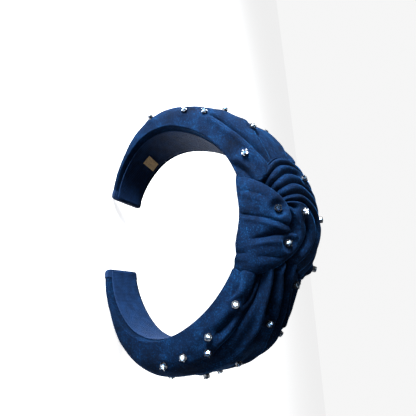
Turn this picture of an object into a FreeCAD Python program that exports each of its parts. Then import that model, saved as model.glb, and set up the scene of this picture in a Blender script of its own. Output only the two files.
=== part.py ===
import FreeCAD, Part
import math
import os

# A padded velvet headband with a turban knot at the crown. From the head outwards each section
# holds a ribbon lining, a velvet sleeve, a flat sprung plastic core and a foam pad. Clear faceted
# stones in claw settings are sewn on all over.
#
# The origin is the middle of the lining's inner face at the crown. +Z points up through the crown,
# X runs from ear to ear with the right leg at +X, and Y runs across the band with the front edge
# at -Y. Sizes are in millimetres and angles in degrees.
#
# A place on the band is (s, x, n): s along the band from the crown, positive down the right leg;
# x across the band from its middle line; n outwards from the lining's inner face.

# Line of the band: three arcs that meet smoothly, from the crown down to a tip
CROWN_RADIUS, CROWN_SWEEP = 66.5, 78.0
SIDE_RADIUS, SIDE_SWEEP = 30.0, 60.0
TAIL_RADIUS, TAIL_SWEEP = 55.0, 36.0

# Section of the band: value at the crown, then at the tips
WIDTH = (57.0, 25.0)
FLARE = (17.0, -15.0)           # tilt of the section, front edge inwards when positive
PAD_RISE = (21.5, 5.0)          # what the foam adds to the band's height before it runs out
DOME_POWER = (2.3, 5.0)         # 2 is an ellipse, larger is squarer
LINING_WIDTH = (42.0, 20.0)
CORE_WIDTH = (36.0, 16.5)
TIP_HEIGHT = 5.0                # inner face to the top of the velvet where there is no foam
TAPER_START, TAPER_END = 0.1, 1.6   # of the half length, where the easing starts and would end
FADE_START, FADE_END = 0.6, 0.93    # of the half length, where the foam runs out

# Layers
FIT = 0.15                      # clearance between one layer and the next
LINING_THICK = 0.8
VELVET_THICK = 1.0
CORE_THICK = 1.6
FOAM_END = 0.86                 # of the half length
BINDING_THICK = 1.0

# Flexing place beside the knot: the spring of the core, gathered into one hinge on each side
HINGE_AT = 38.0
HINGE_GAP = 0.3
OPENING_RELIEF = 11.0           # wedge taken off the leg above the hinge, one more than it opens

# Knot
KNOT_HALF = 33.0
KNOT_OVERHANG = 1.0             # past the edges of the band
KNOT_RISE = 3.0                 # above the legs' height, at its middle
TUCK_SIDE, TUCK_TOP = 5.0, 9.0  # how much slimmer the sleeve is inside the knot
KNOT_CREASE = 0.4               # open line between the wrap and the loop
# Outline of the wrap looking down and back at 45 degrees onto the band's front edge: along X,
# then up and back
WRAP_OUTLINE = ((-42.0, -45.0), (46.0, -45.0), (14.0, 0.0), (5.0, -1.0))

# Tag on the lining of the left leg
TAG_AT = (-123.0, 4.0)
TAG_SIZE = (7.0, 13.0, 0.4)     # along, across and thick

# Stones and their settings
STONE_RADIUS = 1.45
SETTING_RADIUS = 1.85
SETTING_WALL = 0.3
SETTING_HEIGHT = 1.0
SETTING_LIFT = 0.45             # above the velvet
CLAWS = 4

CROWN_STONES = (
    (-31.0, -27.5), (-14.0, -3.0), (2.0, -24.5), (2.0, -12.5), (1.0, 11.5), (16.0, -19.5), (29.5, -6.0),
    (-18.0, 17.0), (20.0, 18.0),
)
RIGHT_STONES = (
    (47.0, -10.5), (49.0, 12.5), (49.0, -25.5), (68.0, -24.0), (72.0, -21.0), (68.0, 2.5), (83.0, 3.0),
    (83.0, -22.0), (93.0, -20.5), (64.0, 19.0), (80.0, 15.5), (98.0, 5.0),
)
LEFT_STONES = (
    (-44.5, -16.5), (-47.0, 7.0), (-65.0, -13.0), (-71.0, -22.5), (-84.0, -22.0), (-105.0, -18.5),
    (-62.0, 18.0), (-78.0, 2.0), (-84.0, 16.0), (-97.0, -4.0),
)

ARCS = ((CROWN_RADIUS, CROWN_SWEEP), (SIDE_RADIUS, SIDE_SWEEP), (TAIL_RADIUS, TAIL_SWEEP))
HALF_LENGTH = sum(radius * math.radians(sweep) for radius, sweep in ARCS)
SLEEVE_LOW = LINING_THICK + FIT
CORE_LOW = SLEEVE_LOW + VELVET_THICK + FIT
CORE_TOP = CORE_LOW + CORE_THICK
ALONG_X = FreeCAD.Vector(1, 0, 0)
ALONG_Y = FreeCAD.Vector(0, 1, 0)
ALONG_Z = FreeCAD.Vector(0, 0, 1)
ORIGIN = FreeCAD.Vector(0, 0, 0)


# --- The band's own coordinates -------------------------------------------------

def smooth(value):
    """0 to 1 with level ends, held outside that range."""
    value = min(max(value, 0.0), 1.0)
    return value * value * (3.0 - 2.0 * value)


def taper(s):
    """0 at the crown, 1 at a tip."""
    span = TAPER_END - TAPER_START
    return smooth((abs(s) / HALF_LENGTH - TAPER_START) / span) / smooth((1.0 - TAPER_START) / span)


def at(pair, s):
    """A value that is pair[0] at the crown and pair[1] at the tips."""
    return pair[0] + (pair[1] - pair[0]) * taper(s)


def axes_at(s):
    """Middle point, then the directions across, outwards and along at s."""
    side = -1.0 if s < 0 else 1.0
    x = z = turned = 0.0
    remaining = abs(s)
    for radius, sweep in ARCS:
        step = min(remaining, radius * math.radians(sweep))
        angle = turned + step / radius
        x += radius * (math.sin(angle) - math.sin(turned))
        z += radius * (math.cos(angle) - math.cos(turned))
        turned = angle
        remaining -= step
    outward = FreeCAD.Vector(side * math.sin(turned), 0, math.cos(turned))
    along = FreeCAD.Vector(math.cos(turned), 0, -side * math.sin(turned))
    x += remaining * math.cos(turned)
    z -= remaining * math.sin(turned)
    flare = math.radians(at(FLARE, s))
    across = ALONG_Y * math.cos(flare) + outward * math.sin(flare)
    lifted = outward * math.cos(flare) - ALONG_Y * math.sin(flare)
    return FreeCAD.Vector(side * x, 0, z), across, lifted, along


def place(s, x, n):
    middle, across, lifted, _ = axes_at(s)
    return middle + across * x + lifted * n


def band_height(s):
    """Inner face to the top of the legs' velvet."""
    fade = smooth((abs(s) / HALF_LENGTH - FADE_START) / (FADE_END - FADE_START))
    return TIP_HEIGHT + at(PAD_RISE, s) * (1.0 - fade)


def tucked(s):
    """1 inside the knot, falling to 0 at the hinges."""
    return 1.0 - smooth((abs(s) - KNOT_HALF) / (HINGE_AT - KNOT_HALF))


def sleeve_size(s):
    """Half width and top of the velvet sleeve."""
    return at(WIDTH, s) / 2 - TUCK_SIDE * tucked(s), band_height(s) - TUCK_TOP * tucked(s)


def knot_size(s):
    """Half width and top of the knot."""
    rise = KNOT_RISE * math.cos(math.pi / 2 * min(abs(s) / KNOT_HALF, 1.0)) ** 2
    return at(WIDTH, s) / 2 + KNOT_OVERHANG, band_height(s) + rise


# --- Sections and solids --------------------------------------------------------

def flat_wire(s, half, low, top):
    corners = [place(s, -half, low), place(s, half, low), place(s, half, top), place(s, -half, top)]
    return Part.makePolygon(corners + corners[:1])


def domed_wire(s, half, low, top):
    """Flat underneath, with a superellipse dome over it."""
    power = 2.0 / at(DOME_POWER, s)
    points = []
    for step in range(17):
        turn = math.pi * step / 16
        x = half * math.copysign(abs(math.cos(turn)) ** power, math.cos(turn))
        points.append(place(s, x, low + (top - low) * abs(math.sin(turn)) ** power))
    dome = Part.BSplineCurve()
    dome.interpolate(points)
    base = Part.LineSegment(points[-1], points[0])
    return Part.Wire([dome.toShape(), base.toShape()])


def stations(start, end, count):
    return [start + (end - start) * index / (count - 1) for index in range(count)]


def loft(wires):
    return Part.makeLoft(wires, True, False)


CROWN_STATIONS = (-HINGE_AT, -35.5, -KNOT_HALF, -22.0, -11.0, 0.0, 11.0, 22.0, KNOT_HALF, 35.5, HINGE_AT)
LEG_START = HINGE_AT + HINGE_GAP
LEG_STATIONS = stations(LEG_START, HALF_LENGTH, 12)


def lining(where):
    return loft([flat_wire(s, at(LINING_WIDTH, s) / 2, 0.0, LINING_THICK) for s in where])


def core(where):
    return loft([flat_wire(s, at(CORE_WIDTH, s) / 2, CORE_LOW, CORE_TOP) for s in where])


def sleeve_block(where, inset):
    """The sleeve's outside, or its hollow when the inset is the velvet's thickness."""
    wires = []
    for s in where:
        half, top = sleeve_size(s)
        wires.append(domed_wire(s, half - inset, SLEEVE_LOW + inset, top - inset))
    return loft(wires)


def sleeve(where):
    return sleeve_block(where, 0.0).cut(sleeve_block(where, VELVET_THICK))


def foam(where):
    """The pad fills the sleeve's hollow above the core, and stops short of the tip."""
    block = sleeve_block(where, VELVET_THICK + FIT)
    slab = loft([flat_wire(s, at(WIDTH, s), -5.0, CORE_TOP + FIT) for s in where])
    return block.cut(tip_block()).cut(slab)


def tip_block():
    """Everything past the end of the foam."""
    start = HALF_LENGTH * FOAM_END
    return loft([flat_wire(s, WIDTH[0], -10.0, 30.0) for s in (start, HALF_LENGTH + 5.0)])


def opening_wedge():
    """What a leg gives up above the hinge so that it can swing outwards."""
    middle, across, lifted, along = axes_at(HINGE_AT)
    root = place(HINGE_AT, 0.0, (CORE_LOW + CORE_TOP) / 2) - across * WIDTH[0] + along * HINGE_GAP
    reach = 2.0 * band_height(HINGE_AT)
    lean = reach * math.tan(math.radians(OPENING_RELIEF))
    back = along * (-2.0)
    corners = [root + back, root, root + lifted * reach + along * lean, root + lifted * reach + back]
    face = Part.Face(Part.makePolygon(corners + corners[:1]))
    return face.extrude(across * (2.0 * WIDTH[0]))


def binding():
    """Ribbon end that covers the tip."""
    half, top = sleeve_size(HALF_LENGTH)
    start = HALF_LENGTH + FIT
    return loft([domed_wire(s, half, 0.0, top) for s in (start, start + BINDING_THICK)])


def knot_pieces():
    """The smooth wrap in front and the pleated loop around it."""
    outside = []
    for s in stations(-KNOT_HALF, KNOT_HALF, 9):
        half, top = knot_size(s)
        outside.append(domed_wire(s, half, SLEEVE_LOW, top))
    body = loft(outside).cut(sleeve_block(CROWN_STATIONS, -2.0 * FIT))
    return body.common(wrap_prism(0.0)), body.cut(wrap_prism(KNOT_CREASE))


def wrap_prism(margin):
    """A long prism over the wrap's outline, grown sideways and backwards by the margin."""
    back_up = (ALONG_Y + ALONG_Z).normalize()
    front_up = (ALONG_Z - ALONG_Y).normalize()
    middle = sum(x for x, _ in WRAP_OUTLINE[2:]) / 2
    corners = []
    for x, rise in WRAP_OUTLINE:
        sideways = math.copysign(margin, x - middle)
        corners.append(ALONG_X * (x + sideways) + back_up * (rise + margin) - front_up * 80.0)
    return Part.Face(Part.makePolygon(corners + corners[:1])).extrude(front_up * 160.0)


def tag():
    """A plain plate on the lining, long across the band."""
    s, x = TAG_AT
    along, across, thick = TAG_SIZE
    wires = []
    for start in stations(s - along / 2, s + along / 2, 3):
        corners = [place(start, x + side * across / 2, -FIT - depth)
                   for side, depth in ((-1, 0.0), (1, 0.0), (1, thick), (-1, thick))]
        wires.append(Part.makePolygon(corners + corners[:1]))
    return loft(wires)


# --- Stones ---------------------------------------------------------------------

def ring_of_points(radius, height, sides, turn):
    """A closed ring of points, level at the given height."""
    points = []
    for index in range(sides + 1):
        angle = 2.0 * math.pi * (index % sides) / sides + turn
        points.append(FreeCAD.Vector(radius * math.cos(angle), radius * math.sin(angle), height))
    return Part.makePolygon(points)


def stone():
    """Eight-sided cut stone: pavilion, girdle, crown and table."""
    levels = ((0.15, 0.45), (STONE_RADIUS, 1.35), (STONE_RADIUS, 1.55), (0.58 * STONE_RADIUS, 2.35))
    return Part.makeLoft([ring_of_points(radius, height, 8, 0.0) for radius, height in levels], True, True)


def setting():
    """A cup with claws that close over the stone's girdle."""
    inner = SETTING_RADIUS - SETTING_WALL
    cup = Part.makeCylinder(SETTING_RADIUS, SETTING_HEIGHT)
    cup = cup.cut(Part.makeCylinder(inner, SETTING_HEIGHT, FreeCAD.Vector(0, 0, SETTING_WALL)))
    claw = Part.makeBox(SETTING_WALL, 0.7, 1.1, FreeCAD.Vector(inner, -0.35, 0.8))
    hook = Part.makeBox(0.55, 0.7, 0.25, FreeCAD.Vector(inner - 0.25, -0.35, 1.9))
    for index in range(CLAWS):
        turn = 360.0 / CLAWS * (index + 0.5)
        for piece in (claw, hook):
            turned = piece.copy()
            turned.rotate(ORIGIN, ALONG_Z, turn)
            cup = cup.fuse(turned)
    return cup.removeSplitter()


def surface_site(s, x):
    """Point on the velvet or the knot, and the outward direction there."""
    half, top = knot_size(s) if abs(s) < KNOT_HALF else sleeve_size(s)
    power = at(DOME_POWER, s)
    height = top - SLEEVE_LOW
    level = (1.0 - abs(x / half) ** power) ** (1.0 / power)
    _, across, lifted, _ = axes_at(s)
    lean_x = math.copysign(abs(x / half) ** (power - 1) / half, x)
    lean_n = level ** (power - 1) / height
    outward = (across * lean_x + lifted * lean_n).normalize()
    return place(s, x, SLEEVE_LOW + height * level), outward


def seated(shape, s, x):
    """The shape moved from the origin to its place on the band, standing square to the surface."""
    point, outward = surface_site(s, x)
    moved = shape.copy()
    moved.Placement = FreeCAD.Placement(point + outward * SETTING_LIFT, FreeCAD.Rotation(ALONG_Z, outward))
    return moved


# --- Assembly -------------------------------------------------------------------

def mirrored(shape):
    return shape.mirror(ORIGIN, ALONG_X)


def leg_nodes():
    """The right leg's layers; the left leg is their mirror image."""
    wedge = opening_wedge()
    return {
        "core_leg": core(LEG_STATIONS).cut(wedge),
        "foam_leg": foam(LEG_STATIONS).cut(wedge),
        "velvet_leg": sleeve(LEG_STATIONS).cut(wedge),
        "lining_leg": lining(LEG_STATIONS),
        "tip_binding": binding(),
    }


def all_nodes():
    nodes = {
        "core_crown": core(CROWN_STATIONS),
        "foam_crown": foam(CROWN_STATIONS),
        "velvet_crown": sleeve(CROWN_STATIONS),
        "lining_crown": lining(CROWN_STATIONS),
        "tag": tag(),
    }
    nodes["knot_wrap"], nodes["knot_loop"] = knot_pieces()
    for name, shape in leg_nodes().items():
        nodes[name + "_right"] = shape
        nodes[name + "_left"] = mirrored(shape)
    cut_stone = stone()
    claw_cup = setting()
    for part, sites in (("crown", CROWN_STONES), ("right", RIGHT_STONES), ("left", LEFT_STONES)):
        nodes["settings_" + part] = Part.makeCompound([seated(claw_cup, s, x) for s, x in sites])
        for number, (s, x) in enumerate(sites, 1):
            nodes["stone_%s_%02d" % (part, number)] = seated(cut_stone, s, x)
    return nodes


os.makedirs("parts", exist_ok=True)
for node_name, node_shape in all_nodes().items():
    node_shape.exportStep("parts/" + node_name + ".step")
    print(node_name, len(node_shape.Solids), node_shape.isValid(), round(node_shape.Volume, 1))
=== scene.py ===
import math
import bpy
import numpy as np
from mathutils import Matrix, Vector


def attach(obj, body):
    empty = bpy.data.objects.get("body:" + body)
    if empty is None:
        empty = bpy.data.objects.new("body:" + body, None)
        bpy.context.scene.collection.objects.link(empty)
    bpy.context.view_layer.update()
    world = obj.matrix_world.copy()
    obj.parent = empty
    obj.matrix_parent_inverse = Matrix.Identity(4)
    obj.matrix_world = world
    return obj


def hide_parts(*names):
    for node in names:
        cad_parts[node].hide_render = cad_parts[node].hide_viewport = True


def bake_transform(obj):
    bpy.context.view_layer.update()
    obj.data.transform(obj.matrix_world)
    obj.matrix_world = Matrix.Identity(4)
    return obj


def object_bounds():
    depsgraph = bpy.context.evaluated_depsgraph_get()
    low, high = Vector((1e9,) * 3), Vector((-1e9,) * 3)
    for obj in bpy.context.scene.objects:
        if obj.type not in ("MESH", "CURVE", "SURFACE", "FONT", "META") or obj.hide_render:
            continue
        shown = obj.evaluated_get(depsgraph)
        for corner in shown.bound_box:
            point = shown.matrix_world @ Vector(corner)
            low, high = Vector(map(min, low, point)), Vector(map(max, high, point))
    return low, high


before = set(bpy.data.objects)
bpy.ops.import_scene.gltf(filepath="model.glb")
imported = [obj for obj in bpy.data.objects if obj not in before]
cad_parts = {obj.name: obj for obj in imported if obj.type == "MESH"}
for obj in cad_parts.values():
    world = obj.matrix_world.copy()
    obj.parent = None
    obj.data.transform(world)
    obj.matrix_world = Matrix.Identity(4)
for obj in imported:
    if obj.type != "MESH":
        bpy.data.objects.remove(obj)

cad_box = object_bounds()

# A padded velvet headband with a turban knot. Lengths here are in millimetres until a mesh is made.
MM = 0.001

# Line of the band: three arcs that meet smoothly, from the crown down to a tip, in millimetres
ARCS = ((66.5, 78.0), (30.0, 60.0), (55.0, 36.0))
HALF_LENGTH = sum(radius * math.radians(sweep) for radius, sweep in ARCS)

# Section of the band: value at the crown, then at the tips
WIDTH = (57.0, 25.0)
FLARE = (17.0, -15.0)
PAD_RISE = (21.5, 5.0)
DOME_POWER = (2.3, 5.0)
LINING_WIDTH = (42.0, 20.0)
TIP_HEIGHT = 5.0
TAPER_START, TAPER_END = 0.1, 1.6
FADE_START, FADE_END = 0.6, 0.93
LINING_THICK = 0.8
SLEEVE_LOW = 0.95
KNOT_HALF = 33.0
KNOT_OVERHANG = 1.0
KNOT_RISE = 3.0
UNDERSIDE_POWER = 0.45       # squarer as it nears 0
SECTION_MIDDLE = 6.0         # n of a place inside every section

# --- The band's own coordinates: s along it, x across it, n out from the lining's inner face ------


def smooth(value):
    """0 to 1 with level ends, held outside that range."""
    value = np.clip(value, 0.0, 1.0)
    return value * value * (3.0 - 2.0 * value)


def taper(s):
    """0 at the crown, 1 at a tip."""
    span = TAPER_END - TAPER_START
    return smooth((np.abs(s) / HALF_LENGTH - TAPER_START) / span) / smooth((1.0 - TAPER_START) / span)


def at(pair, s):
    """A value that is pair[0] at the crown and pair[1] at the tips."""
    return pair[0] + (pair[1] - pair[0]) * taper(s)


def axes_at(s):
    """Middle point, then the directions across and outwards, for an array of s.

    The middle line is three arcs end to end, mirrored about the crown. The section leans over by
    the flare, turned about the band's own line."""
    s = np.asarray(s, float)
    side = np.where(s < 0, -1.0, 1.0)
    x, z, turned = np.zeros_like(s), np.zeros_like(s), np.zeros_like(s)
    remaining = np.abs(s)
    for radius, sweep in ARCS:
        step = np.minimum(remaining, radius * math.radians(sweep))
        angle = turned + step / radius
        x = x + radius * (np.sin(angle) - np.sin(turned))
        z = z + radius * (np.cos(angle) - np.cos(turned))
        turned = angle
        remaining = remaining - step
    nil = np.zeros_like(s)
    outward = np.stack([side * np.sin(turned), nil, np.cos(turned)], -1)
    middle = np.stack([side * (x + remaining * np.cos(turned)), nil, z - remaining * np.sin(turned)], -1)
    flare = np.radians(at(FLARE, s))[..., None]
    front = np.array([0.0, 1.0, 0.0])
    across = front * np.cos(flare) + outward * np.sin(flare)
    lifted = outward * np.cos(flare) - front * np.sin(flare)
    return middle, across, lifted


def place(s, x, n):
    """Points at (s, x, n)."""
    middle, across, lifted = axes_at(s)
    return middle + across * np.asarray(x)[..., None] + lifted * np.asarray(n)[..., None]


def band_height(s):
    """Inner face to the top of the legs' velvet."""
    fade = smooth((np.abs(s) / HALF_LENGTH - FADE_START) / (FADE_END - FADE_START))
    return TIP_HEIGHT + at(PAD_RISE, s) * (1.0 - fade)


def leg_size(s):
    """Half width and top of the sleeve."""
    return at(WIDTH, s) / 2, band_height(s)


def knot_size(s):
    """Half width and top of the knot."""
    rise = KNOT_RISE * np.cos(math.pi / 2 * np.minimum(np.abs(s) / KNOT_HALF, 1.0)) ** 2
    return at(WIDTH, s) / 2 + KNOT_OVERHANG, band_height(s) + rise


def signed_power(value, power):
    """The size of a value to a power, with the value's own sign."""
    return np.sign(value) * np.abs(value) ** power


def hem_section(s, girth, half, top, hem):
    """(x, n) round a closed section. girth is -1 at the front edge, 0 on the crest and 1 at the back
    edge, and goes on underneath past both. The upper part is a superellipse dome and the lower part
    a flatter one of height hem, so that the two meet upright at the edges."""
    turn = math.pi / 2 * (1.0 + girth)
    power = 2.0 / at(DOME_POWER, s)
    over = np.sin(turn) >= 0
    sine, cosine = np.sin(turn), -np.cos(turn)
    x = half * np.where(over, signed_power(cosine, power), signed_power(cosine, UNDERSIDE_POWER))
    n = SLEEVE_LOW + hem + np.where(over, (top - SLEEVE_LOW - hem) * np.abs(sine) ** power,
                                    -hem * np.abs(sine) ** UNDERSIDE_POWER)
    return x, n


# --- Meshes ---------------------------------------------------------------------------------------


def grid_quads(rows, columns, around):
    """Corner numbers of the quads of a grid, joined up across the columns when around is true."""
    last = columns if around else columns - 1
    row, column = np.meshgrid(np.arange(rows - 1), np.arange(last), indexing="ij")
    beside = (column + 1) % columns
    quads = np.stack([row * columns + column, row * columns + beside,
                      (row + 1) * columns + beside, (row + 1) * columns + column], -1)
    return quads.reshape(-1, 4)


def signed_volume(points, faces):
    """Six times the volume inside the faces, below 0 when they point inwards: each face is a fan of
    triangles, and each triangle adds its corners' triple product."""
    corners = [points[faces[:, index]] for index in range(faces.shape[1])]
    return sum((corners[0] * np.cross(corners[index], corners[index + 1])).sum()
               for index in range(1, len(corners) - 1))


def make_piece(name, points, quads, triangles, uv, material):
    """A mesh object from points in millimetres, with its faces turned outwards by signed volume."""
    if signed_volume(points, quads) + signed_volume(points, triangles) < 0:
        quads, triangles = quads[:, ::-1], triangles[:, ::-1]
    mesh = bpy.data.meshes.new(name)
    mesh.from_pydata((points * MM).tolist(), [], quads.tolist() + triangles.tolist())
    mesh.polygons.foreach_set("use_smooth", np.ones(len(mesh.polygons), bool))
    corner = np.zeros(len(mesh.loops), np.int32)
    mesh.loops.foreach_get("vertex_index", corner)
    layer = mesh.uv_layers.new(name="along_across")
    layer.data.foreach_set("uv", uv[corner].astype(np.float32).ravel())
    mesh.materials.append(material)
    mesh.update()
    piece = bpy.data.objects.new(name, mesh)
    bpy.context.scene.collection.objects.link(piece)
    return piece


def tube_piece(name, points, uv, material):
    """A closed tube: rows of rings, each ring joined up, with a middle point closing each end."""
    rows, columns, _ = points.shape
    quads = grid_quads(rows, columns, True)
    ring = np.arange(columns)
    beside = (ring + 1) % columns
    first, second = rows * columns, rows * columns + 1
    base = (rows - 1) * columns
    start = np.stack([np.full(columns, first), beside, ring], -1)
    end = np.stack([np.full(columns, second), base + ring, base + beside], -1)
    ends = np.stack([points[0].mean(0), points[-1].mean(0)])
    flat = np.concatenate([points.reshape(-1, 3), ends])
    flat_uv = np.concatenate([uv.reshape(-1, 2), uv[0].mean(0)[None], uv[-1].mean(0)[None]])
    return make_piece(name, flat, quads, np.concatenate([start, end]), flat_uv, material)


def shell_piece(name, top, bottom, uv, material):
    """A closed shell: a grid on top, a grid underneath and a wall joining their edges all round."""
    rows, columns, _ = top.shape
    quads = grid_quads(rows, columns, False)
    count = rows * columns
    numbers = np.arange(count).reshape(rows, columns)
    rim = np.concatenate([numbers[0, :-1], numbers[:-1, -1], numbers[-1, :0:-1], numbers[:0:-1, 0]])
    beside = np.roll(rim, -1)
    wall = np.stack([beside, rim, rim + count, beside + count], -1)
    faces = np.concatenate([quads, quads[:, ::-1] + count, wall])
    points = np.concatenate([top.reshape(-1, 3), bottom.reshape(-1, 3)])
    no_triangles = np.zeros((0, 3), int)
    return make_piece(name, points, faces, no_triangles, np.concatenate([uv.reshape(-1, 2)] * 2), material)


def surface_normals(points, outside, around):
    """Unit normals of a grid of points, pointing to the side given by the directions in outside."""
    down = np.gradient(points, axis=0)
    if around:
        beside = np.roll(points, -1, 1) - np.roll(points, 1, 1)
    else:
        beside = np.gradient(points, axis=1)
    normals = np.cross(down, beside)
    normals /= np.linalg.norm(normals, axis=-1, keepdims=True) + 1e-9
    sign = np.sign((normals * outside).sum(-1).sum())
    return normals * sign


def through(stations, values, where):
    """A smooth curve through the values at the stations: cubic pieces whose slopes at each station
    are those of the line joining its neighbours."""
    stations, values = np.asarray(stations, float), np.asarray(values, float)
    slopes = np.gradient(values, stations, axis=0)
    where = np.clip(where, stations[0], stations[-1])
    index = np.clip(np.searchsorted(stations, where, side="right") - 1, 0, len(stations) - 2)
    step = stations[index + 1] - stations[index]
    t = (where - stations[index]) / step
    spread = t.shape + (1,) * (values.ndim - 1)
    step, t = step.reshape(spread), t.reshape(spread)
    return ((2 * t ** 3 - 3 * t ** 2 + 1) * values[index] + (t ** 3 - 2 * t ** 2 + t) * step * slopes[index]
            + (3 * t ** 2 - 2 * t ** 3) * values[index + 1] + (t ** 3 - t ** 2) * step * slopes[index + 1])


def rumple(a, b, size, seed):
    """Small even unevenness between -1 and 1: five sine waves of about the given size crossing at
    seeded angles."""
    waves = np.random.default_rng(seed).uniform(0, 1, (5, 3))
    total = np.zeros(np.broadcast(a, b).shape)
    for turn, phase, stretch in waves:
        angle = math.pi * turn
        pitch = size * (0.7 + 0.8 * stretch)
        total += np.sin(2 * math.pi * ((a * math.cos(angle) + b * math.sin(angle)) / pitch + phase))
    return total / 5


# --- Stones ---------------------------------------------------------------------------------------

# Each stone's place as (s, x)
CROWN_STONES = (
    (-31.0, -27.5), (-14.0, -3.0), (2.0, -24.5), (2.0, -12.5), (1.0, 11.5), (16.0, -19.5), (29.5, -6.0),
    (-18.0, 17.0), (20.0, 18.0),
)
RIGHT_STONES = (
    (47.0, -10.5), (49.0, 12.5), (49.0, -25.5), (68.0, -24.0), (72.0, -21.0), (68.0, 2.5), (83.0, 3.0),
    (83.0, -22.0), (93.0, -20.5), (64.0, 19.0), (80.0, 15.5), (98.0, 5.0),
)
LEFT_STONES = (
    (-44.5, -16.5), (-47.0, 7.0), (-65.0, -13.0), (-71.0, -22.5), (-84.0, -22.0), (-105.0, -18.5),
    (-62.0, 18.0), (-78.0, 2.0), (-84.0, 16.0), (-97.0, -4.0),
)
SEAT_RADIUS, SEAT_REACH = 1.9, 6.0     # flat under a setting, then easing out to the plain fabric
SEAT_LIFT = 0.4                        # height of the seat's plane above the plain fabric
SEAT_DEPTH = 6.0                       # fabric further than this above or below is another layer


def stone_sites():
    """Points where the stones' settings stand and the directions that they face."""
    s, x = np.array(CROWN_STONES + RIGHT_STONES + LEFT_STONES).T
    on_knot = np.abs(s) < KNOT_HALF
    half = np.where(on_knot, knot_size(s)[0], leg_size(s)[0])
    height = np.where(on_knot, knot_size(s)[1], leg_size(s)[1]) - SLEEVE_LOW
    power = at(DOME_POWER, s)
    level = (1.0 - np.abs(x / half) ** power) ** (1.0 / power)
    _, across, lifted = axes_at(s)
    facing = (across * (signed_power(x / half, power - 1) / half)[:, None]
              + lifted * (level ** (power - 1) / height)[:, None])
    facing /= np.linalg.norm(facing, axis=-1, keepdims=True)
    return place(s, x, SLEEVE_LOW + height * level), facing


SITES, FACINGS = stone_sites()


def seat_stones(points):
    """Draws the fabric to each stone's seat: nearby points go to the plane under the setting, fully
    within its radius and less and less out to the reach."""
    for site, facing in zip(SITES, FACINGS):
        offset = points - site
        height = offset @ facing
        distance = np.linalg.norm(offset - height[..., None] * facing, axis=-1)
        pull = 1.0 - smooth((distance - SEAT_RADIUS) / (SEAT_REACH - SEAT_RADIUS))
        pull = np.where(np.abs(height) < SEAT_DEPTH, pull, 0.0)
        points = points - (pull * (height - SEAT_LIFT))[..., None] * facing
    return points


# --- Finishes -------------------------------------------------------------------------------------


def new_finish(name, colour, roughness, metallic=0.0, **more):
    """A material with one Principled shader, and its node tree, for the patterns to be added to."""
    material = bpy.data.materials.new(name)
    material.use_nodes = True
    shader = material.node_tree.nodes["Principled BSDF"]
    shader.inputs["Base Color"].default_value = (*colour, 1.0)
    shader.inputs["Roughness"].default_value = roughness
    shader.inputs["Metallic"].default_value = metallic
    for socket, value in more.items():
        shader.inputs[socket.replace("_", " ")].default_value = value
    return material, material.node_tree, shader


def add_node(tree, kind, inputs=(), **settings):
    node = tree.nodes.new(kind)
    for key, value in settings.items():
        setattr(node, key, value)
    for key, value in dict(inputs).items():
        node.inputs[key].default_value = value
    return node


def noise(tree, space, scale, detail=3.0, roughness=0.5):
    node = add_node(tree, "ShaderNodeTexNoise", {"Scale": scale, "Detail": detail, "Roughness": roughness})
    tree.links.new(space, node.inputs["Vector"])
    return node.outputs["Fac"]


def ramp(tree, value, stops):
    """A colour ramp over value with (position, colour) stops."""
    node = tree.nodes.new("ShaderNodeValToRGB")
    elements = node.color_ramp.elements
    while len(elements) < len(stops):
        elements.new(0.5)
    for element, (position, colour) in zip(elements, stops):
        element.position = position
        element.color = (*colour, 1.0)
    tree.links.new(value, node.inputs["Fac"])
    return node.outputs["Color"]


def mixed(tree, mode, amount, first, second):
    node = add_node(tree, "ShaderNodeMix", data_type="RGBA", blend_type=mode)
    node.inputs["Factor"].default_value = amount
    tree.links.new(first, node.inputs["A"])
    tree.links.new(second, node.inputs["B"])
    return node.outputs["Result"]


def bump(tree, shader, heights):
    """A chain of bumps from (value, strength, distance in metres)."""
    last = None
    for value, strength, distance in heights:
        node = add_node(tree, "ShaderNodeBump", {"Strength": strength, "Distance": distance})
        tree.links.new(value, node.inputs["Height"])
        if last is not None:
            tree.links.new(last, node.inputs["Normal"])
        last = node.outputs["Normal"]
    tree.links.new(last, shader.inputs["Normal"])


def object_space(tree):
    return tree.nodes.new("ShaderNodeTexCoord").outputs["Object"]


def velvet_finish():
    """Cut pile: a near-black navy that clouds where the pile lies another way, with dots of painted
    highlight for pile ends catching the light, and a blue sheen at grazing angles."""
    material, tree, shader = new_finish(
        "midnight_velvet", (0.003, 0.010, 0.032), 0.9, Sheen_Weight=0.24, Sheen_Roughness=0.24,
        Sheen_Tint=(0.022, 0.20, 0.60, 1.0), Specular_IOR_Level=0.025)
    space = object_space(tree)
    clouds = ramp(tree, noise(tree, space, 90.0, 4.0, 0.6),
                  [(0.3, (0.0002, 0.0020, 0.0070)), (0.52, (0.0005, 0.0047, 0.0165)),
                   (0.75, (0.0011, 0.0105, 0.034))])
    # Painted highlight: bright dots multiplied into the colour stand in for glinting pile ends
    painted_pile_glints = ramp(tree, noise(tree, space, 1500.0, 2.0, 0.7),
                   [(0.42, (0.45, 0.45, 0.5)), (0.58, (1.0, 1.0, 1.0)), (0.72, (3.4, 3.4, 3.0))])
    tree.links.new(mixed(tree, "MULTIPLY", 1.0, clouds, painted_pile_glints), shader.inputs["Base Color"])
    bump(tree, shader, [(noise(tree, space, 2200.0, 2.0, 0.7), 0.55, 0.00025),
                        (noise(tree, space, 260.0, 3.0), 0.25, 0.0006)])
    return material


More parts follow.
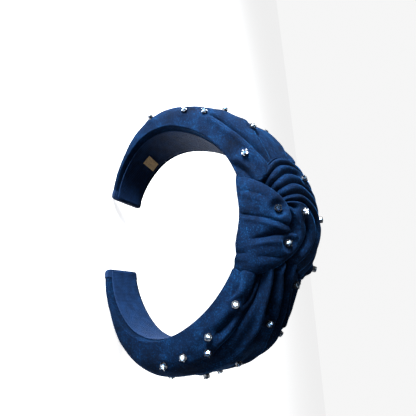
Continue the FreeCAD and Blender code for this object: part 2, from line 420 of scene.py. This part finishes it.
def lining_finish():
    """Matt navy ribbon whose ribs are in the mesh; fine threads run along it and its colour drifts."""
    material, tree, shader = new_finish(
        "navy_ribbon", (0.003, 0.012, 0.04), 0.62, Sheen_Weight=0.05, Sheen_Roughness=0.3,
        Sheen_Tint=(0.15, 0.35, 0.8, 1.0), Specular_IOR_Level=0.05)
    place_on = tree.nodes.new("ShaderNodeUVMap")
    place_on.uv_map = "along_across"
    threads = add_node(tree, "ShaderNodeTexWave", {"Scale": 1.1, "Distortion": 0.6, "Detail": 1.0},
                       wave_type="BANDS", bands_direction="Y")
    tree.links.new(place_on.outputs["UV"], threads.inputs["Vector"])
    space = object_space(tree)
    drift = ramp(tree, noise(tree, space, 220.0, 3.0),
                 [(0.35, (0.0015, 0.0075, 0.026)), (0.7, (0.003, 0.014, 0.046))])
    shade = ramp(tree, threads.outputs["Fac"], [(0.0, (0.6, 0.6, 0.65)), (1.0, (1.15, 1.15, 1.1))])
    tree.links.new(mixed(tree, "MULTIPLY", 1.0, drift, shade), shader.inputs["Base Color"])
    bump(tree, shader, [(threads.outputs["Fac"], 0.5, 0.0001), (noise(tree, space, 1800.0), 0.3, 0.0001)])
    return material


def metal_finish(name, colour, roughness, scratches):
    """Metal whose roughness and colour drift a little, with fine scratches."""
    material, tree, shader = new_finish(name, colour, roughness, 1.0)
    space = object_space(tree)
    grain = noise(tree, space, scratches, 4.0, 0.7)
    dark = tuple(0.72 * c for c in colour)
    tree.links.new(ramp(tree, noise(tree, space, 700.0), [(0.3, dark), (0.65, colour)]),
                   shader.inputs["Base Color"])
    worn = ramp(tree, grain, [(0.2, (roughness * 0.6,) * 3), (0.8, (roughness * 1.5,) * 3)])
    tree.links.new(worn, shader.inputs["Roughness"])
    bump(tree, shader, [(grain, 0.2, 0.00004)])
    return material


def stone_finish():
    """Foil-backed cut glass: pale blue, with painted reflections: small bright and dark facet glints in its
    colour.
    """
    material, tree, shader = new_finish(
        "foil_backed_stone", (0.3, 0.5, 0.8), 0.05, 0.85, Specular_IOR_Level=0.5,
        Coat_Weight=0.5, Coat_Roughness=0.03)
    space = object_space(tree)
    painted_facet_glints = add_node(tree, "ShaderNodeTexVoronoi", {"Scale": 620.0})
    tree.links.new(space, painted_facet_glints.inputs["Vector"])
    # Painted reflection: the cells ramp from near-black to near-white as facet glints in the colour
    tone = ramp(tree, painted_facet_glints.outputs["Color"],
                [(0.25, (0.01, 0.025, 0.05)), (0.45, (0.05, 0.12, 0.24)), (0.62, (0.25, 0.46, 0.72)),
                 (0.85, (0.85, 0.95, 1.0))])
    tree.links.new(tone, shader.inputs["Base Color"])
    bump(tree, shader, [(painted_facet_glints.outputs["Distance"], 0.25, 0.0002)])
    return material


def plastic_finish(name, colour, grain):
    """Moulded plastic or open foam: one colour that drifts, with a grain."""
    material, tree, shader = new_finish(name, colour, 0.6)
    space = object_space(tree)
    dark = tuple(0.85 * c for c in colour)
    tree.links.new(ramp(tree, noise(tree, space, 150.0), [(0.35, dark), (0.65, colour)]),
                   shader.inputs["Base Color"])
    bump(tree, shader, [(noise(tree, space, grain), 0.4, 0.0001)])
    return material


VELVET = velvet_finish()
RIBBON = lining_finish()
SILVER = metal_finish("setting_silver", (0.16, 0.17, 0.19), 0.22, 2400.0)
GOLD = metal_finish("satin_gold", (0.86, 0.62, 0.36), 0.32, 1500.0)
STONE = stone_finish()
CORE = plastic_finish("core_plastic", (0.85, 0.85, 0.83), 1600.0)

# --- Velvet sleeves -------------------------------------------------------------------------------

HEM = 1.5
SLEEVE_ROWS, SLEEVE_RING = 250, 240
TUCK_DEPTH, TUCK_LENGTH = 7.0, 5.0
FOLD_STRENGTH = 1.35
PINCH = 4.5                          # how much slimmer the right leg's back is where the folds gather
PINCH_FROM, PINCH_OVER = 31.0, 19.0  # where the pinch starts to ease, and over what length
GIRTH_REACH = 0.55                   # turns a girth into a length, times half width plus height

# Each fold: its line as (s, girth) points, height of its ridge, its width, how far beside it the
# crease lies (negative towards the front edge), the crease's depth, and how soon it fades at its ends
RIGHT_FOLDS = (
    (((34.0, -0.86), (40.0, -0.80), (46.0, -0.80), (52.0, -0.84)), 0.9, 1.5, -2.0, 0.9, 4.0),
    (((30.0, -0.79), (36.8, -0.77), (43.0, -0.76), (50.0, -0.79), (60.0, -0.82), (80.0, -0.88)),
     0.9, 2.2, 3.2, 2.4, 22.0),
    (((30.0, -0.72), (36.8, -0.68), (43.0, -0.655), (50.0, -0.66), (60.0, -0.60), (86.0, -0.56)),
     0.7, 1.5, 2.8, 2.0, 26.0),
    (((28.0, -0.56), (32.0, -0.51), (37.3, -0.468), (43.4, -0.409), (50.5, -0.306), (56.8, -0.268),
      (63.6, -0.203), (71.0, -0.190), (92.0, -0.25)), 2.0, 1.4, 3.0, 2.5, 26.0),
    (((28.0, -0.40), (33.3, -0.317), (40.6, -0.208), (45.7, -0.127), (49.7, -0.089), (56.5, 0.035),
      (63.0, 0.15), (84.0, 0.24)), 2.2, 1.3, 2.7, 2.6, 24.0),
    (((28.0, -0.22), (33.3, -0.138), (39.0, -0.041), (45.7, 0.014), (51.2, 0.127), (56.3, 0.246),
      (66.0, 0.36), (86.0, 0.42)), 2.4, 1.3, 2.7, 2.6, 22.0),
    (((28.0, -0.06), (34.8, 0.03), (41.6, 0.160), (48.0, 0.27), (56.0, 0.42), (68.0, 0.55)),
     1.8, 1.5, 3.0, 1.8, 14.0),
    (((28.0, 0.15), (35.0, 0.25), (42.0, 0.36), (50.0, 0.50), (60.0, 0.64)), 1.7, 1.7, 3.2, 1.6, 13.0),
    (((28.0, 0.36), (35.0, 0.46), (43.0, 0.58), (52.0, 0.72)), 1.5, 1.7, 3.2, 1.5, 11.0),
    (((28.0, 0.60), (36.0, 0.70), (46.0, 0.85)), 1.3, 1.7, 3.0, 1.2, 9.0),
)
LEFT_FOLDS = (
    (((-72.0, -0.80), (-66.0, -0.775), (-52.0, -0.785), (-42.7, -0.745), (-32.7, -0.70), (-25.5, -0.65),
      (-18.0, -0.62)), 1.3, 1.9, 3.3, 2.4, 9.0),
    (((-58.0, -0.20), (-54.0, -0.25), (-44.0, -0.43), (-35.0, -0.49), (-25.0, -0.52)),
     1.2, 2.1, 3.4, 2.0, 9.0),
    (((-50.0, -0.06), (-42.0, 0.02), (-33.0, -0.03), (-25.0, -0.17)), 1.3, 1.9, 3.2, 1.9, 8.0),
    (((-36.0, -0.96), (-28.7, -0.90), (-22.0, -0.82), (-16.0, -0.78)), 0.9, 1.5, -2.4, 1.3, 6.0),
    (((-56.0, 0.30), (-46.0, 0.33), (-36.0, 0.26), (-25.0, 0.10)), 1.3, 2.0, 3.2, 1.8, 10.0),
    (((-52.0, 0.66), (-42.0, 0.62), (-33.0, 0.52), (-25.0, 0.38)), 1.2, 2.0, 3.2, 1.6, 10.0),
)
# Where the knot covers each sleeve: (girth, s) points
RIGHT_COVER = ((-1.6, 36.0), (-1.1, 36.0), (-0.78, 33.4), (-0.62, 30.0), (-0.48, 27.0), (-0.33, 24.5),
               (-0.2, 23.8), (-0.05, 24.6), (0.1, 25.4), (0.3, 26.4), (0.6, 26.8), (1.2, 27.2))
LEFT_COVER = ((-1.6, -23.0), (-1.17, -22.0), (-0.87, -17.0), (-0.74, -14.0), (-0.66, -16.5), (-0.53, -19.5),
              (-0.27, -22.5), (0.09, -25.5), (0.6, -27.0), (1.2, -27.0))


def fold_height(s, girth, reach, folds):
    """Height of the folds: a rounded ridge along each line and a crease beside it. The ridge is a
    bell across the line and the crease a sharper one, and both fade at the line's ends."""
    total = np.zeros(s.shape)
    for line, ridge, width, beside, crease, fade in folds:
        line_s, line_girth = np.array(line).T
        away = (girth - through(line_s, line_girth, s)) * reach
        ends = smooth((s - line_s[0]) / fade) if s[-1, 0] < 0 else smooth((line_s[-1] - s) / fade)
        hill = ridge * np.exp(-(away / width) ** 2)
        valley = crease * np.exp(-np.abs(away - beside) / (0.75 * width))
        total += ends * (hill - valley)
    return total


def sleeve(name, side, folds, cover):
    """Velvet sleeve of one side, from the crown to the tip: the section carried along the band, the
    folds raised along its normals, its end tucked under the knot, and seats drawn in for the stones."""
    steps = np.linspace(0.0, 1.0, SLEEVE_ROWS)
    s_line = side * (HALF_LENGTH * (0.80 * steps + 0.20 * steps ** 2.2))
    ring = np.arange(SLEEVE_RING) / SLEEVE_RING
    girth_line = np.interp(ring, (0.0, 0.10, 0.90, 1.0), (-1.5, -1.05, 1.05, 2.5))
    s, girth = np.meshgrid(s_line, girth_line, indexing="ij")
    half, top = leg_size(s)
    x, n = hem_section(s, girth, half, top, HEM)
    points = place(s, x, n)
    _, across, lifted = axes_at(s)
    outside = across * x[..., None] + lifted * (n - SECTION_MIDDLE)[..., None]
    normals = surface_normals(points, outside, True)
    reach = GIRTH_REACH * (half + top)
    upper = smooth((1.25 - np.abs(girth)) / 0.35)
    height = FOLD_STRENGTH * fold_height(s, girth, reach, folds) * upper
    if side > 0:
        eased = 1.0 - smooth((s - PINCH_FROM) / PINCH_OVER)
        height -= PINCH * eased * smooth((girth + 0.35) / 0.45) * upper
    height += 0.22 * rumple(s, girth * reach, 17.0, 3) * upper
    height += 0.10 * rumple(s, girth * reach, 6.0, 4) * upper
    cover_girth, cover_s = np.array(cover).T
    under = side * (through(cover_girth, cover_s, np.clip(girth, -1.6, 1.2)) - s)
    height = height - TUCK_DEPTH * smooth(under / TUCK_LENGTH) * smooth((1.5 - np.abs(girth)) / 0.3)
    points = seat_stones(points + normals * height[..., None])
    uv = np.stack([s, girth * reach], -1)
    return tube_piece(name, points, uv, VELVET)


right_sleeve = sleeve("velvet_sleeve_right", 1.0, RIGHT_FOLDS, RIGHT_COVER)
left_sleeve = sleeve("velvet_sleeve_left", -1.0, LEFT_FOLDS, LEFT_COVER)

# --- Knot -----------------------------------------------------------------------------------------

KNOT_HEM = 1.5
KNOT_REACH = 40.0     # turns a girth on the knot into a length
ROLL_RISE, ROLL_SINK = 3.1, 1.9
WRAP_RISE, WRAP_SINK = 4.6, 2.0
SHELL_THICK = 2.2     # of the rolls, below the knot's plain surface


def knot_skin(s, girth):
    """Points on the knot's plain surface and their outward directions."""
    half, top = knot_size(s)
    x, n = hem_section(s, girth, half, top, KNOT_HEM)
    points = place(s, x, n)
    _, across, lifted = axes_at(s)
    outside = across * x[..., None] + lifted * (n - SECTION_MIDDLE)[..., None]
    return points, surface_normals(points, outside, False)


def net_at(net, down, over):
    """s and girth on a smooth net of control points, for lists of places down and over it, 0 to 1."""
    net = np.array(net, float)
    lines = np.stack([through(np.linspace(0.0, 1.0, net.shape[1]), row, over) for row in net])
    grid = through(np.linspace(0.0, 1.0, net.shape[0]), lines, down)
    return grid[..., 0], grid[..., 1]


# The rolls of the loop, each a line from under the wrap, over the crown and down to the right
LOOP_NET = (
    ((1.0, -0.52), (5.0, -0.49), (9.5, -0.47), (15.0, -0.50), (21.0, -0.58)),
    ((-0.4, -0.52), (3.6, -0.35), (9.6, -0.22), (15.5, -0.28), (22.0, -0.42)),
    ((-1.2, -0.54), (-0.6, -0.22), (7.2, -0.03), (16.0, -0.10), (24.6, -0.27)),
    ((-2.4, -0.56), (-3.6, -0.15), (4.6, 0.18), (16.4, 0.09), (26.4, -0.12)),
    ((-5.0, -0.60), (-8.6, -0.14), (2.6, 0.38), (17.2, 0.28), (27.4, 0.04)),
    ((-8.0, -0.66), (-13.4, -0.16), (0.6, 0.58), (17.6, 0.48), (28.0, 0.22)),
    ((-10.8, -0.72), (-18.0, -0.20), (-3.4, 0.80), (17.4, 0.72), (28.0, 0.42)),
    ((-13.2, -0.78), (-22.4, -0.22), (-9.0, 1.00), (16.0, 0.98), (28.0, 0.66)),
    ((-15.0, -0.86), (-26.5, -0.16), (-17.0, 1.18), (13.0, 1.22), (28.5, 0.92)),
)
# The wrap round the front edge, each row from its upper border to the edge of its lobe
WRAP_NET = (
    ((-24.0, -1.74), (6.0, -1.74), (35.0, -1.74)),
    ((-24.0, -1.35), (7.0, -1.35), (36.0, -1.35)),
    ((-22.8, -1.08), (8.0, -1.08), (36.4, -1.04)),
    ((-16.5, -0.86), (9.0, -0.86), (34.6, -0.80)),
    ((-8.5, -0.65), (9.5, -0.66), (29.5, -0.55)),
    ((-2.6, -0.51), (9.7, -0.54), (22.5, -0.36)),
    ((2.5, -0.46), (9.6, -0.47), (15.5, -0.275)),
    ((5.5, -0.45), (9.2, -0.45), (12.8, -0.32)),
)
# Creases of the wrap: each a line of (girth, s) points, its depth, its width, and how soon it fades
# at its lower and upper ends
WRAP_CREASES = (
    (((-0.98, 18.5), (-0.86, 17.6), (-0.77, 16.0), (-0.61, 13.6), (-0.48, 12.6), (-0.38, 10.6)),
     3.0, 1.5, 0.32, 0.05),
    (((-1.13, 1.9), (-0.94, 5.0), (-0.78, 6.4), (-0.66, 7.6), (-0.50, 9.0), (-0.38, 10.4)),
     1.5, 1.2, 0.16, 0.05),
    (((-0.80, 25.5), (-0.68, 24.2), (-0.50, 22.6), (-0.38, 20.4)), 0.8, 1.7, 0.12, 0.08),
    (((-1.05, -12.0), (-0.86, -7.0), (-0.70, -2.0)), 0.7, 1.5, 0.12, 0.10),
    (((-1.3, 28.0), (-1.05, 27.0), (-0.86, 25.0)), 0.8, 1.5, 0.15, 0.10),
)


def knot_loop():
    """Pleated loop: a smooth net over the knot, with a rounded roll raised along each of its lines.
    Across the rolls the height is a power of a cosine, so that they meet in sharp valleys. It is
    then lowered at the hollow, at the right-hand end and along the borders that are tucked in."""
    across_rolls = np.linspace(0.0, 1.0, 264)
    along_rolls = np.linspace(0.0, 1.0, 184)
    s, girth = net_at(LOOP_NET, across_rolls, along_rolls)
    across_rolls, along_rolls = across_rolls[:, None], along_rolls[None]
    skin, normals = knot_skin(s, girth)
    roll = across_rolls * (len(LOOP_NET) - 1)
    roundness = np.abs(np.cos(math.pi * roll)) ** 0.75
    middle = np.sin(math.pi * along_rolls) ** 0.5
    swell = 0.25 * np.sin(2.1 * roll + 5.0 * along_rolls)
    height = (ROLL_RISE + swell) * roundness * (0.45 + 0.55 * middle) - ROLL_SINK
    height += 0.20 * rumple(s, girth * KNOT_REACH, 9.0, 7)
    height -= 6.0 * (1.0 - smooth((roll - 0.15) / 0.75)) + 1.0 * (1.0 - smooth((roll - 1.0) / 0.8))
    height -= 3.5 * (1.0 - smooth((len(LOOP_NET) - 1 - roll) / 0.45))
    height -= 3.4 * smooth((along_rolls - 0.55) / 0.45) * smooth((roll - 2.0) / 2.5)
    height -= 4.0 * (1.0 - smooth(along_rolls / 0.07))
    height -= 3.5 * (1.0 - smooth((1.0 - along_rolls) / 0.06))
    top = seat_stones(skin + normals * height[..., None])
    bottom = skin - normals * (np.maximum(-height, 0.0) + SHELL_THICK)[..., None]
    uv = np.stack([s, girth * KNOT_REACH], -1)
    return shell_piece("knot_rolls", top, bottom, uv, VELVET)


def knot_wrap():
    """Smooth wrap round the front edge: a net from inside the band up to the hole, domed across with
    rolled borders, and creased by V-shaped valleys along lines that run out from the hole."""
    up = np.linspace(0.0, 1.0, 236)
    over = 0.5 - 0.5 * np.cos(math.pi * np.linspace(0.0, 1.0, 204))
    s, girth = net_at(WRAP_NET, up, over)
    up, over = up[:, None], over[None]
    skin, normals = knot_skin(s, girth)
    domed = (1.0 - np.abs(2.0 * over - 1.0) ** 5.0) ** 0.5
    height = WRAP_RISE * domed - WRAP_SINK - 1.9 * smooth((s - 18.0) / 14.0) * smooth((-0.66 - girth) / 0.3)
    height += 0.8 * smooth((over - 0.5) / 0.5) * domed * smooth((girth + 1.1) / 0.3)
    for line, depth, width, fade_low, fade_high in WRAP_CREASES:
        line_girth, line_s = np.array(line).T
        away = s - through(line_girth, line_s, girth)
        low_end = smooth((girth - line_girth[0]) / fade_low)
        high_end = smooth((line_girth[-1] + 0.03 - girth) / max(fade_high, 0.03))
        valley = np.exp(-np.abs(away) / width)
        swollen_side = 0.35 * np.exp(-((away - 2.2 * width) / width) ** 2)
        height -= depth * low_end * high_end * (valley - swollen_side)
    height += 0.25 * rumple(s, girth * KNOT_REACH, 11.0, 11) + 0.12 * rumple(s, girth * KNOT_REACH, 5.0, 12)
    inside = 1.0 - smooth((girth + 1.45) / 0.35)
    height = height * (1.0 - inside) + 0.25 * inside * (2.0 * domed - 1.0)
    height -= 4.5 * (1.0 - smooth((1.0 - up) / 0.07))
    top = seat_stones(skin + normals * height[..., None])
    bottom = skin - normals * (np.maximum(-height, 0.0) + 0.5 + 1.5 * (1.0 - inside))[..., None]
    uv = np.stack([s, girth * KNOT_REACH], -1)
    return shell_piece("knot_wrap_front", top, bottom, uv, VELVET)


loop = knot_loop()
wrap = knot_wrap()

# --- Ribbon lining and tip bindings ----------------------------------------------------------------

RIB_PITCH, RIB_DEPTH = 0.95, 0.07


def lining(name, side):
    """Ribbon from the crown to a tip: a thin rounded strip whose faces rise and fall as a cosine
    along the band, which makes the ribs."""
    rows = int(HALF_LENGTH / (RIB_PITCH / 4))
    s_line = side * np.linspace(0.0, HALF_LENGTH, rows)
    turn = 2 * math.pi * np.arange(44) / 44
    s, angle = np.meshgrid(s_line, turn, indexing="ij")
    ribs = RIB_DEPTH * np.cos(2 * math.pi * s / RIB_PITCH)
    half = at(LINING_WIDTH, s) / 2
    x = half * signed_power(np.cos(angle), 0.25) * (1.0 - 0.004 * ribs)
    n = LINING_THICK / 2 + (LINING_THICK / 2 + ribs - RIB_DEPTH) * signed_power(np.sin(angle), 0.35)
    return tube_piece(name, place(s, x, n), np.stack([s, x], -1), RIBBON)


def tip_binding(name, side):
    """Ribbon end over a tip: the sleeve's section, drawn in by a quarter circle towards the end."""
    steps = np.concatenate([np.linspace(0.0, 0.65, 12), np.linspace(0.68, 1.0, 14)])
    length, depth = 5.0, 1.35
    end = smooth((steps - 0.65) / 0.35)
    s_line = side * (HALF_LENGTH + 1.1 - length * (1.0 - steps))
    draw = depth * (1.0 - np.sqrt(np.clip(1.0 - ((steps - 0.65) / 0.35).clip(0, 1) ** 2, 0, 1)))
    turn = np.linspace(-1.5, 2.5, 120, endpoint=False)
    s, girth = np.meshgrid(s_line, turn, indexing="ij")
    half, top = leg_size(s)
    x, n = hem_section(s, girth, half + 0.3 - draw[:, None], top + 0.3 - draw[:, None], 1.2)
    n = np.maximum(n, 0.1) - 0.75 * np.clip((1.0 - n) / 0.05, 0.0, 1.0) * (1.0 - end[:, None])
    ribs = 0.05 * np.cos(2 * math.pi * girth * 26.0)
    return tube_piece(name, place(s, x, n + ribs * (n > 2.0)), np.stack([s, girth * 15.0], -1), RIBBON)


right_lining = lining("ribbon_lining_right", 1.0)
left_lining = lining("ribbon_lining_left", -1.0)
right_binding = tip_binding("tip_ribbon_right", 1.0)
left_binding = tip_binding("tip_ribbon_left", -1.0)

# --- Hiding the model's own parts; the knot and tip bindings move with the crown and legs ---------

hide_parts("velvet_leg_right", "foam_leg_right", "velvet_crown", "foam_crown")
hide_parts("velvet_leg_left", "foam_leg_left")
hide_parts("knot_loop")
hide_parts("knot_wrap")
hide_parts("lining_leg_right", "lining_crown")
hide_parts("lining_leg_left")
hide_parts("tip_binding_right")
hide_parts("tip_binding_left")

for side, leg, pieces in ((1.0, "right_leg", (right_sleeve, right_lining)),
                          (-1.0, "left_leg", (left_sleeve, left_lining))):
    for piece in pieces:
        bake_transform(piece)
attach(loop, "crown")
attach(wrap, "crown")
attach(right_binding, "right_leg")
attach(left_binding, "left_leg")

NODE_FINISHES = (("stone_", STONE), ("settings_", SILVER), ("tag", GOLD), ("core_", CORE), ("foam_", CORE),
                 ("velvet_", VELVET), ("knot_", VELVET), ("lining_", RIBBON), ("tip_binding", RIBBON))
for node_name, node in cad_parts.items():
    for beginning, finish in NODE_FINISHES:
        if node_name.startswith(beginning):
            node.data.materials.clear()
            node.data.materials.append(finish)

# --- Floor, light and camera ----------------------------------------------------------------------


FLOOR_GAP = 0.0005           # metres below the tips
FLOOR_RADII = (1.5, 6.0)     # metres
FLOOR_SIDES = 96


def backdrop():
    """A round pale floor under the tips, a disc of rings joined to a middle point."""
    low = cad_box[0][2] - FLOOR_GAP
    angle = np.linspace(0.0, 2 * math.pi, FLOOR_SIDES, endpoint=False)
    radius = np.array(FLOOR_RADII)[:, None]
    ring = np.stack([radius * np.cos(angle), radius * np.sin(angle), np.full((2, FLOOR_SIDES), low)], -1)
    points = np.concatenate([ring.reshape(-1, 3), [[0.0, 0.0, low]]])
    here = np.arange(FLOOR_SIDES)
    beside = (here + 1) % FLOOR_SIDES
    inner = np.stack([np.full(FLOOR_SIDES, 2 * FLOOR_SIDES), here, beside], -1)
    outer = np.stack([here, here + FLOOR_SIDES, beside + FLOOR_SIDES, beside], -1)
    mesh = bpy.data.meshes.new("pale_floor")
    mesh.from_pydata(points.tolist(), [], inner.tolist() + outer.tolist())
    material, tree, shader = new_finish("pale_floor", (0.92, 0.92, 0.93), 0.9,
                                        Emission_Color=(1.0, 1.0, 1.0, 1.0), Emission_Strength=0.74)
    tone = ramp(tree, noise(tree, object_space(tree), 3.0),
                [(0.3, (0.91, 0.91, 0.92)), (0.7, (0.94, 0.94, 0.95))])
    tree.links.new(tone, shader.inputs["Base Color"])
    mesh.materials.append(material)
    floor = bpy.data.objects.new("pale_floor", mesh)
    bpy.context.scene.collection.objects.link(floor)


OBJECT_MIDDLE = np.array([0.0, 0.0, -0.045])     # metres


def soft_light(name, towards, distance, size, power, colour):
    """A square light at a distance along a direction from the middle of the object, facing it."""
    direction = np.array(towards, float)
    direction /= np.linalg.norm(direction)
    data = bpy.data.lights.new(name, "AREA")
    data.shape, data.size, data.energy, data.color = "SQUARE", size, power, colour
    lamp = bpy.data.objects.new(name, data)
    beside = np.cross((0.0, 0.3, 1.0), direction)
    beside /= np.linalg.norm(beside)
    axes = np.stack([beside, np.cross(direction, beside), direction,
                     OBJECT_MIDDLE + direction * distance], -1)
    lamp.matrix_world = Matrix(axes.tolist() + [[0.0, 0.0, 0.0, 1.0]])
    bpy.context.scene.collection.objects.link(lamp)


# The camera: its right, up and backward directions, its place and its focal length
CAMERA_RIGHT = (0.0120741, 0.3175752, 0.9481562)
CAMERA_UP = (-0.9460521, -0.3034197, 0.1136746)
CAMERA_BACK = (0.3237895, -0.8983777, 0.2967792)
CAMERA_AT = (0.0551789, -0.1894233, 0.0265205)
CAMERA_LENS = 28.1657

backdrop()
up, right, back = (np.array(v) for v in (CAMERA_UP, CAMERA_RIGHT, CAMERA_BACK))
soft_light("key", 1.0 * up - 0.20 * right + 0.32 * back, 0.55, 0.22, 40.0, (0.93, 0.97, 1.0))
soft_light("side", 0.9 * right + 0.35 * up + 0.15 * back, 0.6, 0.20, 3.4, (0.95, 0.98, 1.0))
soft_light("front", -0.45 * right + 0.45 * up + 1.0 * back, 0.7, 0.4, 1.3, (1.0, 1.0, 1.0))

world = bpy.data.worlds.new("studio")
world.use_nodes = True
world_tree = world.node_tree
for node_name, strength in (("Background", 0.13), ("Backdrop", 0.92)):
    shade = world_tree.nodes.get(node_name) or world_tree.nodes.new("ShaderNodeBackground")
    shade.name = node_name
    shade.inputs["Color"].default_value = (1.0, 1.0, 1.0, 1.0)
    shade.inputs["Strength"].default_value = strength
seen = world_tree.nodes.new("ShaderNodeLightPath")
either = world_tree.nodes.new("ShaderNodeMixShader")
world_tree.links.new(seen.outputs["Is Camera Ray"], either.inputs["Fac"])
world_tree.links.new(world_tree.nodes["Background"].outputs["Background"], either.inputs[1])
world_tree.links.new(world_tree.nodes["Backdrop"].outputs["Background"], either.inputs[2])
world_tree.links.new(either.outputs["Shader"], world_tree.nodes["World Output"].inputs["Surface"])
bpy.context.scene.world = world
bpy.context.scene.view_settings.view_transform = "Standard"

camera_data = bpy.data.cameras.new("camera")
camera_data.sensor_width, camera_data.lens = 36.0, CAMERA_LENS
camera_data.clip_start, camera_data.clip_end = 0.01, 20.0
camera = bpy.data.objects.new("camera", camera_data)
camera_axes = np.stack([CAMERA_RIGHT, CAMERA_UP, CAMERA_BACK, CAMERA_AT], -1)
camera.matrix_world = Matrix(camera_axes.tolist() + [[0.0, 0.0, 0.0, 1.0]])
bpy.context.scene.collection.objects.link(camera)
bpy.context.scene.camera = camera
